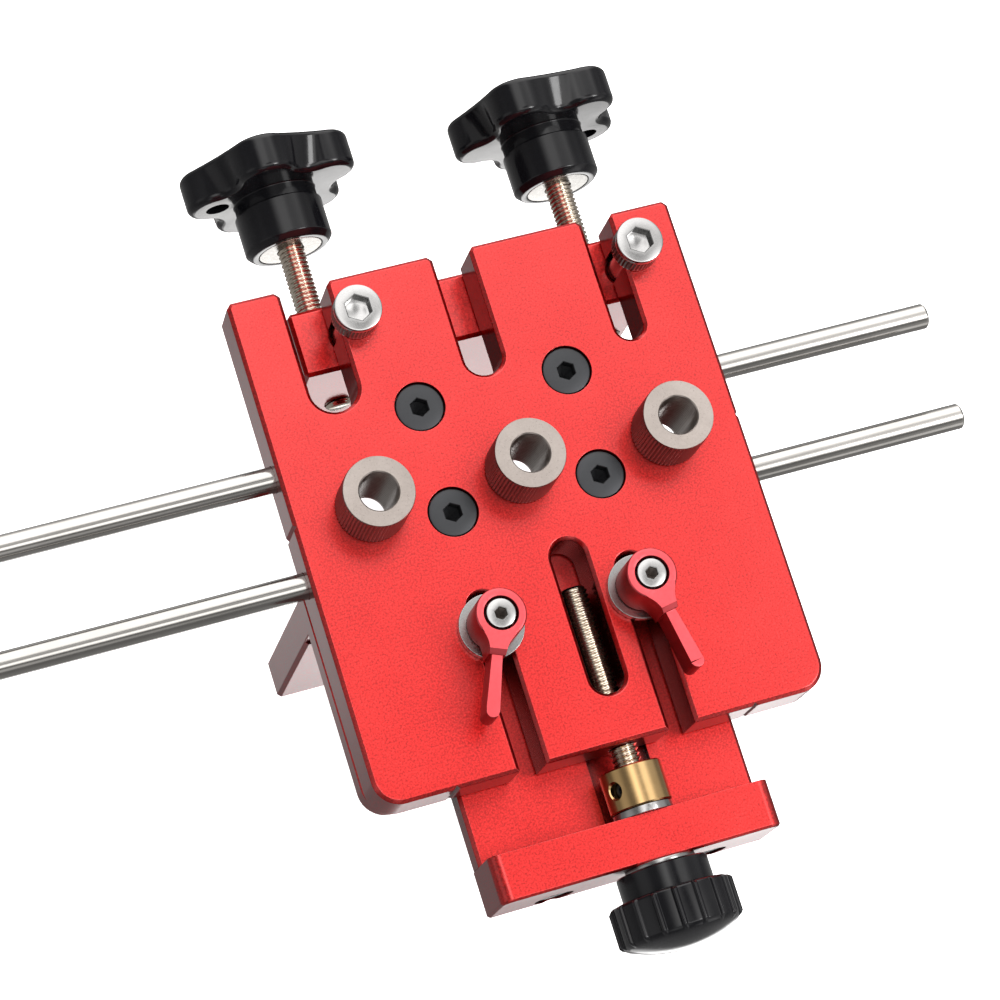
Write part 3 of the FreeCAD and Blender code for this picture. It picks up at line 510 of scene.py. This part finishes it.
def spring(side):
    """A lever's coil spring, built at its full length on the lever's core, with a mesh of its own.
    On the jig it squeezes up against the screw's head when the handle is lifted.
    """
    node = f"lever_spring_{side}"
    low, high = span(node)
    at = Vector((*centre(node)[:2], 0))
    wire, turns, steps, sides, lift = 0.42, 4, 32, 10, 1.5
    reach = (high.x - low.x) / 2 - wire / 2
    tall = high.z - low.z
    count = turns * steps
    verts, faces = [], []
    for index in range(count + 1):
        angle = 2 * math.pi * index / steps
        height = low.z + wire / 2 + (tall - wire) * index / count
        for corner in range(sides):
            turn = 2 * math.pi * corner / sides
            out, above = reach + wire / 2 * math.cos(turn), wire / 2 * math.sin(turn)
            verts.append((out * math.cos(angle), out * math.sin(angle), height + above))
    for index in range(count):
        for corner in range(sides):
            a, b = index * sides + corner, index * sides + (corner + 1) % sides
            faces.append((a, a + sides, b + sides, b))
    faces.append(tuple(range(sides)))
    faces.append(tuple(reversed(range(count * sides, (count + 1) * sides))))
    piece = put(f"spring_{side}", (verts, faces), f"lever_{side}_core", "spring_steel", at,
                replaces=[node])
    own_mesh(piece)


# ---- threads, collar and adjuster --------------------------------------------------------------

LEAD_RADIUS = 3.0
CLAMP_RADIUS = 2.95
THREAD_SHARP = 50


def lead_thread():
    """The lead screw, from its tip in the plate's slot to its end in the adjuster knob."""
    low, high = span("lead_screw")
    at = Vector((centre("lead_screw").x, high.y, centre("lead_screw").z))
    put("lead_thread", turned(thread_rings(LEAD_RADIUS, high.y - low.y), count=48), "lead",
        "zinc_thread", at, TO_FRONT, ["lead_screw"], sharp=THREAD_SHARP)


def clamp_thread(side):
    """A clamp screw, from its tip to its end in the star knob."""
    node = f"clamp_screw_{side}"
    low, high = span(node)
    at = Vector((centre(node).x, low.y, centre(node).z))
    put(f"clamp_thread_{side}", turned(thread_rings(CLAMP_RADIUS, high.y - low.y), count=48),
        f"clamp_{side}", "zinc_thread", at, TO_REAR, [node], sharp=THREAD_SHARP)


def collar():
    """The brass collar with its chamfered radial hole up and to the left."""
    low, high = span("lead_collar")
    axis = centre("lead_collar")
    long, outer, edge = high.y - low.y, 6.5, 0.3
    hole, lean, sink, flare = 1.5, -55, 0.45, 1.1
    profile = [(LEAD_RADIUS, 0), (LEAD_RADIUS + edge, 0), (outer - edge, 0), (outer, edge),
               (outer, long - edge), (outer - edge, long), (LEAD_RADIUS, long)]
    at = Vector((axis.x, high.y, axis.z))
    piece = put("collar", turned(profile, count=144, loop=True), "lead", "brass_collar", at, TO_FRONT,
                ["lead_collar"])
    tilt = Matrix.Rotation(math.radians(lean), 4, "Y")
    past = outer - sink + flare
    drill = [(0, 2), (hole, 2), (hole, outer - sink), (hole + flare, past), (0, past)]
    tool = put("drill", turned(drill, count=48), None, None, axis, tilt)
    cut(piece, tool)


def adjuster():
    """The adjuster knob: plain hub, head with thin ribs and a shallow domed end."""
    low, high = span("adjuster_knob")
    hub, neck, outer, ribs, end, top = 9.5, 5.3, 12.4, 18, 14.4, high.y - low.y
    bore_deep, edge, fillet, dome_steps = 12, 0.3, 0.25, 8
    dome = outer - 1.1
    rib = ribbed(outer, 0.6, 1.15, ribs)
    low_rib = ribbed(outer - 0.25, 0.45, 1.0, ribs)
    lowest_rib = ribbed(outer - 0.55, 0.3, 0.9, ribs)
    rings = [(0, bore_deep), (LEAD_RADIUS, bore_deep), (LEAD_RADIUS, 0), (hub - edge, 0), (hub, edge),
             (hub, neck - fillet), (hub + fillet, neck), (outer - 1.0, neck),
             (lowest_rib, neck + 0.15), (low_rib, neck + 0.4), (rib, neck + 0.8), (rib, end - 1.3),
             (low_rib, end - 0.8), (outer - 0.6, end - 0.35), (dome, end)]
    for step in range(1, dome_steps):
        reach = dome * (1 - step / dome_steps)
        rings.append((reach, end + (top - end) * (1 - (reach / dome) ** 2)))
    rings.append((0, top))
    at = Vector((centre("lead_screw").x, high.y, centre("lead_screw").z))
    put("adjuster", turned(rings, count=720), "lead", "black_plastic", at, TO_FRONT,
        ["adjuster_knob"], sharp=40)


# ---- star knobs --------------------------------------------------------------------------------

LOBES = 5
LOBE_CENTRE = 13.0
LOBE_RADIUS = 6.5
HALF_LOBE = math.pi / LOBES
ARC_STEPS = 6
LEFT_KNOB_TURN, RIGHT_KNOB_TURN = -175, 25  # degrees, as the photograph shows them


def star(waist, inset):
    """The radius of the five-lobed outline, moved inwards by an inset. The waist is how near the
    hollows between the lobes come to the axis."""
    bulge = LOBE_RADIUS - waist
    hollow_centre = ((LOBE_CENTRE ** 2 - bulge ** 2)
                     / (2 * LOBE_CENTRE * math.cos(HALF_LOBE) + 2 * bulge))
    lobe, hollow = LOBE_RADIUS - inset, hollow_centre - waist + inset
    along, across = hollow_centre * math.cos(HALF_LOBE), hollow_centre * math.sin(HALF_LOBE)
    gap = Vector((along - LOBE_CENTRE, across))
    meets = Vector((LOBE_CENTRE, 0)) + gap.normalized() * lobe
    change = math.atan2(meets.y, meets.x)

    def radius(angle):
        off = abs((angle + HALF_LOBE) % (2 * HALF_LOBE) - HALF_LOBE)
        if off < change:
            aside = LOBE_CENTRE * math.sin(off)
            return LOBE_CENTRE * math.cos(off) + math.sqrt(lobe ** 2 - aside ** 2)
        off = HALF_LOBE - off
        aside = hollow_centre * math.sin(off)
        return hollow_centre * math.cos(off) - math.sqrt(hollow ** 2 - aside ** 2)
    return radius


def star_knob(side, turn):
    """The five-lobed knob with its stepped hub, the pocket under one lobe and a dished top."""
    node = f"star_knob_{side}"
    low, high = span(node)
    axis = centre(f"clamp_screw_{side}")
    hub, collar_low, collar_radius, face, top = 9.7, 9.6, 9.1, 12.5, high.y - low.y
    waist_low, waist_top, foot_break, edge = 14.1, 16.6, 1.2, 1.5
    flange, flange_deep, barrel, barrel_deep, screw_deep = 7.05, 1.65, 4.65, 10.05, 12.0
    dish, dish_deep, dish_lip = 10.0, 0.6, 0.6
    rings = rounded([(0, screw_deep), (CLAMP_RADIUS, screw_deep), (CLAMP_RADIUS, barrel_deep),
                     (barrel, barrel_deep), (barrel, flange_deep), (flange, flange_deep),
                     (flange, 0), (hub - foot_break, 0), (hub, foot_break), (hub, collar_low),
                     (collar_radius, collar_low), (collar_radius, face), (collar_radius + 1.5, face)])
    rings.pop()  # the last point only lets the corner before it be rounded
    arc = [math.radians(90 * step / ARC_STEPS) for step in range(ARC_STEPS + 1)]
    rings += [(star(waist_low, edge * (1 - math.sin(t))), face + edge * (1 - math.cos(t))) for t in arc]
    rings += [(star(waist_top, edge * (1 - math.cos(t))), top - edge * (1 - math.sin(t))) for t in arc]
    rings += rounded([(dish + 0.5, top), (dish, top), (dish - dish_lip, top - dish_deep),
                      (0.5, top - dish_deep)])[1:-1]
    rings.append((0, top - dish_deep))
    at = Vector((axis.x, low.y, axis.z))
    swing = TO_REAR @ Matrix.Rotation(math.radians(turn), 4, "Z")
    piece = put(f"star_{side}", turned(rings, count=240), f"clamp_{side}", "black_plastic", at, swing,
                [node])
    hole, start, deep = 2.6, face - 1, face + 5
    pocket = [(0, start), (hole, start), (hole, deep), (0, deep)]
    shift = swing @ Matrix.Translation((LOBE_CENTRE, 0, 0))
    cut(piece, put("pocket", turned(pocket, count=48), None, None, at, shift))


# ---- camera, light and floor -------------------------------------------------------------------

AMBIENT = 0.30  # light from every direction
DARKEST = 0.03  # no direction is darker, not even where a dark gap reaches past the soft boxes
STRIPS = (
    # Long soft boxes above the jig, along X. Degrees from straight up towards the rear: the middle,
    # how far from it the light is full, and how far it reaches. The last is the strength.
    (48, 22, 58, 3.3),
    (-13, 8, 27, 3.4),
)
# Where along X the soft boxes are centred, and how far from there they are full and end, all as the
# X part of a unit direction.
STRIP_MIDDLE = 0.18
STRIP_FULL, STRIP_END = 0.30, 0.68
PATCHES = (
    # towards, full within and reach in degrees, strength
    # two dark gaps in the soft boxes, which shade the plate's top
    ((0.15, -0.02, 0.99), 4, 17, -3.2),
    ((0.39, 0.22, 0.89), 5, 19, -1.4),
    # a low light at the front right
    ((0.50, -0.86, 0.00), 10, 17, 1.1),
    # light from below for the upright faces that the camera sees: the plate's left side, the end
    # plate's front, and what faces the front in the rear gaps and on the fence
    ((-0.20, 0.23, -0.95), 1, 5.5, 0.9),
    ((0.31, -0.11, -0.94), 1, 4.5, 1.5),
    ((0.23, -0.26, -0.94), 3.5, 8.5, 2.2),
    # weaker fill lights at the front, at both sides and at the rear
    ((0.70, -0.66, 0.28), 8, 28, 0.9),
    ((-0.15, -0.86, 0.48), 5, 22, 1.1),
    ((-0.92, -0.10, 0.38), 8, 27, 0.6),
    ((0.92, 0.00, 0.38), 8, 27, 0.6),
    ((0.00, 0.95, -0.30), 10, 30, 0.5),
)
BELOW_HORIZON = ((0.0, 0.0, -1.0), 60, 100, 0.12)
# The pale floor that upright faces reflect: the side it lies on, where it sets in and is full
# along that side and downwards, and how bright it is.
FLOOR_SIDE = (2, -3, 0)
FLOOR_ASIDE = (0.235, 0.27)
FLOOR_DOWN = (0.86, 0.93)
FRONT_FLOOR = 1.45


def glow(tree, direction, axis, full, reach, strength):
    """Light from round an axis: all of it within one angle, none beyond another, in degrees."""
    start, end = math.cos(math.radians(reach)), math.cos(math.radians(full))
    return rise(tree, dot(tree, direction, axis), start, end, strength)


def studio_light(tree, direction):
    """How bright the studio is in each direction: two long soft boxes, patches and a pale floor."""
    across = tree.nodes.new("ShaderNodeVectorMath")
    across.operation = "MULTIPLY"
    across.inputs[1].default_value = (0, 1, 1)
    link(tree, direction, across.inputs[0])
    level = tree.nodes.new("ShaderNodeVectorMath")
    level.operation = "NORMALIZE"
    link(tree, across.outputs["Vector"], level.inputs[0])
    boxes = 0.0
    for middle, full, reach, strength in STRIPS:
        axis = (0, math.sin(math.radians(middle)), math.cos(math.radians(middle)))
        box = glow(tree, level.outputs["Vector"], axis, full, reach, strength)
        boxes = maths(tree, "ADD", boxes, box)
    sideways = maths(tree, "SUBTRACT", dot(tree, direction, (1, 0, 0)), STRIP_MIDDLE)
    sideways = maths(tree, "ABSOLUTE", sideways)
    total = maths(tree, "MULTIPLY", boxes, rise(tree, sideways, STRIP_END, STRIP_FULL))
    for patch in PATCHES + (BELOW_HORIZON,):
        total = maths(tree, "ADD", total, glow(tree, direction, *patch))
    aside = rise(tree, dot(tree, direction, FLOOR_SIDE), *FLOOR_ASIDE)
    below = rise(tree, dot(tree, direction, (0, 0, -1)), *FLOOR_DOWN, FRONT_FLOOR)
    total = maths(tree, "ADD", total, maths(tree, "MULTIPLY", aside, below))
    return maths(tree, "MAXIMUM", maths(tree, "ADD", total, AMBIENT), DARKEST)


def make_world():
    """A studio round the jig. The camera itself sees plain white behind it."""
    world = bpy.data.worlds.new("studio")
    bpy.context.scene.world = world
    world.use_nodes = True
    tree = world.node_tree
    direction = tree.nodes.new("ShaderNodeTexCoord").outputs["Generated"]
    lit = tree.nodes["Background"]
    lit.inputs["Color"].default_value = (1.0, 0.99, 0.98, 1)
    link(tree, studio_light(tree, direction), lit.inputs["Strength"])
    pale = tree.nodes.new("ShaderNodeBackground")
    mix = tree.nodes.new("ShaderNodeMixShader")
    pale.inputs["Color"].default_value = (1, 1, 1, 1)
    link(tree, tree.nodes.new("ShaderNodeLightPath").outputs["Is Camera Ray"], mix.inputs["Fac"])
    link(tree, lit.outputs["Background"], mix.inputs[1])
    link(tree, pale.outputs["Background"], mix.inputs[2])
    link(tree, mix.outputs["Shader"], tree.nodes["World Output"].inputs["Surface"])


FLOOR_HALF = 1500
FLOOR_GAP = 0.2


def make_floor():
    """A plain white floor under the jig, lit so evenly that it reads as white."""
    height = span("sliding_jaw")[0].z - FLOOR_GAP
    corners = [(x * FLOOR_HALF, y * FLOOR_HALF, height) for x, y in ((-1, -1), (1, -1), (1, 1), (-1, 1))]
    floor = put("floor", (corners, [(0, 1, 2, 3)]), None, None)
    white = bpy.data.materials.new("floor_white")
    white.use_nodes = True
    shader = white.node_tree.nodes["Principled BSDF"]
    shader.inputs["Base Color"].default_value = (0.9, 0.9, 0.9, 1)
    shader.inputs["Roughness"].default_value = 0.9
    shader.inputs["Emission Color"].default_value = (1, 1, 1, 1)
    shader.inputs["Emission Strength"].default_value = 1.0
    floor.data.materials.append(white)
    floor.visible_glossy = False


def make_lamp(name, at, size, power, aim=(0, 0, 0)):
    """A rectangular soft light that faces a point of the jig."""
    data = bpy.data.lights.new(name, "AREA")
    data.shape = "RECTANGLE"
    data.size, data.size_y = (side * MM for side in size)
    data.energy = power
    lamp = bpy.data.objects.new(name, data)
    lamp.location = Vector(at) * MM
    lamp.rotation_euler = (Vector(aim) - Vector(at)).to_track_quat("-Z", "Y").to_euler()
    bpy.context.scene.collection.objects.link(lamp)


CAMERA_AT = (-175.83, -154.49, 648.61)
CAMERA_TURN = (16.373, -10.213, -17.574)
LENS, SENSOR = 122.0, 36.0


def make_camera():
    """The photograph's camera, as solved from the plate, the guides, the rods and the screws."""
    data = bpy.data.cameras.new("camera")
    data.lens = LENS
    data.sensor_width = SENSOR
    data.clip_start = 10 * MM
    camera = bpy.data.objects.new("camera", data)
    camera.location = Vector(CAMERA_AT) * MM
    camera.rotation_euler = tuple(math.radians(turn) for turn in CAMERA_TURN)
    bpy.context.scene.collection.objects.link(camera)
    bpy.context.scene.camera = camera


# ---- the whole scene ---------------------------------------------------------------------------

make_camera()
MATERIALS = make_materials()
dress_cad_nodes()
for place in ("left", "centre", "right"):
    drill_guide(place)
for side in SIDES:
    cap_screw(side)
    clamp_thread(side)
    for row in ("rear", "front"):
        flat_screw(f"lock_screw_{row}_{side}", f"rod_lock_screw_{row}_{side}", "plate", "black_oxide",
                   head=5.0, thick=2.9, shank=2.5, across=3.5, deep=2.4)
    flat_screw(f"pin_{side}", f"lever_screw_{side}", f"lever_{side}_core", "stainless",
               head=3.0, thick=0.9, shank=1.5, across=2.3, deep=0.6)
    spring(side)
lead_thread()
collar()
adjuster()
star_knob("left", LEFT_KNOB_TURN)
star_knob("right", RIGHT_KNOB_TURN)
make_world()
make_floor()
make_lamp("key", at=(500, -250, 700), size=(250, 250), power=3)
bpy.context.scene.view_settings.view_transform = "Standard"
